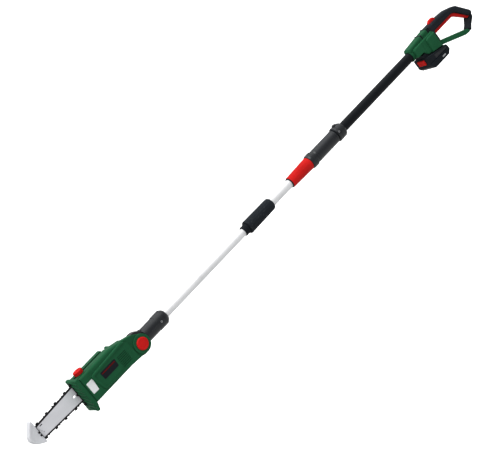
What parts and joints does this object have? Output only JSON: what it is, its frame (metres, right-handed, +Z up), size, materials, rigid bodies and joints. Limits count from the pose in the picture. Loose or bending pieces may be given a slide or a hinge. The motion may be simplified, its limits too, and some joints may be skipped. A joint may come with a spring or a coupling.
{
  "type": "telescoping pole saw",
  "caption": "Cordless pole saw: a D-handle with a slide-on battery, a telescoping pole and a tilting motor head with a short guide bar, chain and nose guard.",
  "frame": {"origin": "on the pole's axis at the middle of the fore-grip", "axes": "+X along the pole towards the saw head, +Y to the saw's left, +Z up towards the lock-off button"},
  "size_m": [2.086, 0.0875, 0.1608],
  "materials": {
    "black_painted_tube": "semi-gloss black powder coat",
    "gloss_black": "smooth black moulded plastic",
    "green_body": "satin dark green moulded plastic",
    "soft_black": "soft-touch black overmould",
    "black_plastic": "satin black moulded plastic",
    "circuit_board": "green laminate",
    "red_plastic": "smooth red moulded plastic",
    "cell_wrap": "blue shrink wrap",
    "aluminium_tube": "satin clear-anodised",
    "cast_housing": "as cast",
    "machine_steel": "turned and ground",
    "tank_white": "translucent white",
    "bar_grey": "light grey satin",
    "chain_black": "dark oiled steel",
    "guard_grey": "light grey moulded plastic"
  },
  "bodies": {
    "handle": {"handle_tube": "black_painted_tube", "fore_grip": "gloss_black", "rear_collar": "gloss_black", "pole_socket": "gloss_black", "handle_shell_left": "green_body", "handle_shell_right": "green_body", "rear_grip_left": "soft_black", "rear_grip_right": "soft_black", "switch_block": "black_plastic", "control_board": "circuit_board", "terminal_block": "black_plastic", "handle_screw_front": "machine_steel", "handle_screw_rear": "machine_steel"},
    "coupling_nut": {"coupling_nut": "red_plastic"},
    "trigger": {"trigger": "red_plastic"},
    "lock_off_button": {"lock_off_button": "red_plastic"},
    "battery": {"battery_case_upper": "black_plastic", "battery_case_lower": "black_plastic", "cell_pack": "cell_wrap"},
    "battery_latch": {"battery_latch": "red_plastic"},
    "pole": {"outer_tube": "aluminium_tube", "lock_body": "black_plastic", "collet": "black_plastic", "lock_collar": "gloss_black"},
    "twist_sleeve": {"twist_sleeve": "soft_black"},
    "extension": {"inner_tube": "aluminium_tube", "tube_stop": "black_plastic", "pole_adapter": "gloss_black"},
    "head": {"head_shell_left": "green_body", "head_shell_right": "green_body", "sprocket_cover": "green_body", "bumper": "green_body", "bumper_spikes": "chain_black", "motor_cover": "green_body", "label_plate": "black_plastic", "oil_tank": "tank_white", "motor_can": "machine_steel", "gear_case": "cast_housing", "gear_case_lid": "cast_housing", "spindle_bearing_right": "machine_steel", "spindle_bearing_left": "machine_steel", "oil_pump": "black_plastic", "guide_bar": "bar_grey", "saw_chain": "chain_black", "nose_guard": "guard_grey", "guard_screw_upper": "chain_black", "guard_screw_lower": "chain_black", "bar_stud": "machine_steel", "pivot_pin": "machine_steel", "pivot_spring": "machine_steel", "head_screw_top": "machine_steel", "head_screw_bottom": "machine_steel"},
    "oil_cap": {"oil_cap": "red_plastic"},
    "clamp_knob": {"clamp_knob": "black_plastic"},
    "pivot_button": {"pivot_button": "red_plastic"},
    "drive": {"spindle": "machine_steel", "crown_gear": "machine_steel", "drive_sprocket": "machine_steel"},
    "rotor": {"rotor": "machine_steel"},
    "nose_sprocket": {"nose_sprocket": "machine_steel"}
  },
  "joints": [
    {"name": "battery_slide", "type": "slide", "parent": "handle", "child": "battery", "axis": [1, 0, 0], "range_m": [0, 0.1]},
    {"name": "battery_latch_press", "type": "slide", "parent": "battery", "child": "battery_latch", "axis": [-1, 0, 0], "range_m": [0, 0.003], "stiffness_N_per_m": 1500},
    {"name": "trigger_pull", "type": "hinge", "parent": "handle", "child": "trigger", "pos_m": [-0.73075, 0, -0.045], "axis": [0, -1, 0], "range_deg": [0, 3.5], "stiffness_Nm_per_rad": 6},
    {"name": "lock_off_press", "type": "slide", "parent": "handle", "child": "lock_off_button", "axis": [0, 0, -1], "range_m": [0, 0.004], "stiffness_N_per_m": 800},
    {"name": "coupling_nut_turn", "type": "hinge", "parent": "handle", "child": "coupling_nut", "pos_m": [0.13, 0, 0], "axis": [-1, 0, 0], "range_deg": [0, 360]},
    {"name": "pole_release", "type": "slide", "parent": "handle", "child": "pole", "axis": [1, 0, 0], "range_m": [0, 0.06]},
    {"name": "twist_lock", "type": "hinge", "parent": "pole", "child": "twist_sleeve", "pos_m": [0.33, 0, 0], "axis": [1, 0, 0], "range_deg": [0, 90]},
    {"name": "telescope", "type": "slide", "parent": "pole", "child": "extension", "axis": [1, 0, 0], "range_m": [-0.34, 0.06]},
    {"name": "head_tilt", "type": "hinge", "parent": "extension", "child": "head", "pos_m": [0.90525, 0, 0], "axis": [0, 1, 0], "range_deg": [-15, 60]},
    {"name": "pivot_button_press", "type": "slide", "parent": "head", "child": "pivot_button", "axis": [0, -1, 0], "range_m": [0, 0.005], "stiffness_N_per_m": 1200, "deforming": ["pivot_spring"]},
    {"name": "oil_cap_turn", "type": "hinge", "parent": "head", "child": "oil_cap", "pos_m": [1.09825, -0.003, 0.066], "axis": [0, 0, 1], "range_deg": [0, 360]},
    {"name": "clamp_knob_turn", "type": "hinge", "parent": "head", "child": "clamp_knob", "pos_m": [1.09325, -0.04, 0.021], "axis": [0, -1, 0], "range_deg": [0, 360]},
    {"name": "drive_spin", "type": "hinge", "parent": "head", "child": "drive", "pos_m": [1.04025, 0, 0.021], "axis": [0, 1, 0], "continuous": true},
    {"name": "rotor_spin", "type": "hinge", "parent": "head", "child": "rotor", "pos_m": [0.98525, 0.011, 0.021], "axis": [1, 0, 0], "continuous": true},
    {"name": "nose_sprocket_spin", "type": "hinge", "parent": "head", "child": "nose_sprocket", "pos_m": [1.29375, -0.018, 0.021], "axis": [0, 1, 0], "continuous": true}
  ],
  "couplings": [
    {"joint": "rotor_spin", "follows": "drive_spin", "ratio": -4},
    {"joint": "nose_sprocket_spin", "follows": "drive_spin", "ratio": 0.66667}
  ]
}
